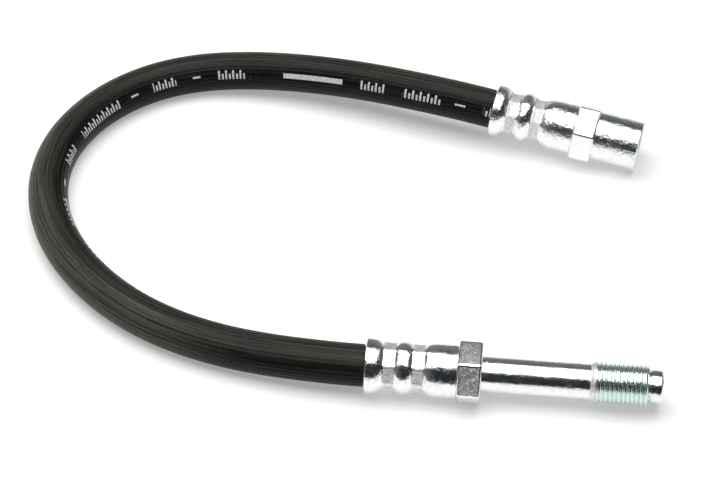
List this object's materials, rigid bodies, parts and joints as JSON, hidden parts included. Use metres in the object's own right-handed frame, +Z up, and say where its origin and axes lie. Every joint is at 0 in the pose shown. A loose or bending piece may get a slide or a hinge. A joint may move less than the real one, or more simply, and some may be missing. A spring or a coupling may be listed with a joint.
{
  "type": "brake hose",
  "caption": "Thick rubber brake hose bent in a U, with crimped metal hexagon fittings: a female socket, and a long male stem with a thread and a plain nose.",
  "frame": {"origin": "on the surface that the part lies on, at the middle of the footprint of the two fittings", "axes": "+X from the bend of the hose towards the open ends of the two fittings, +Y from the male fitting to the female one, +Z up"},
  "size_m": [0.18, 0.1171, 0.0173],
  "materials": {
    "rubber": "satin black, finely ribbed along its length",
    "zinc_plate": "bright zinc plate on turned steel"
  },
  "bodies": {
    "root": {"hose": "rubber", "female_end": "zinc_plate", "male_end": "zinc_plate"}
  },
  "joints": []
}
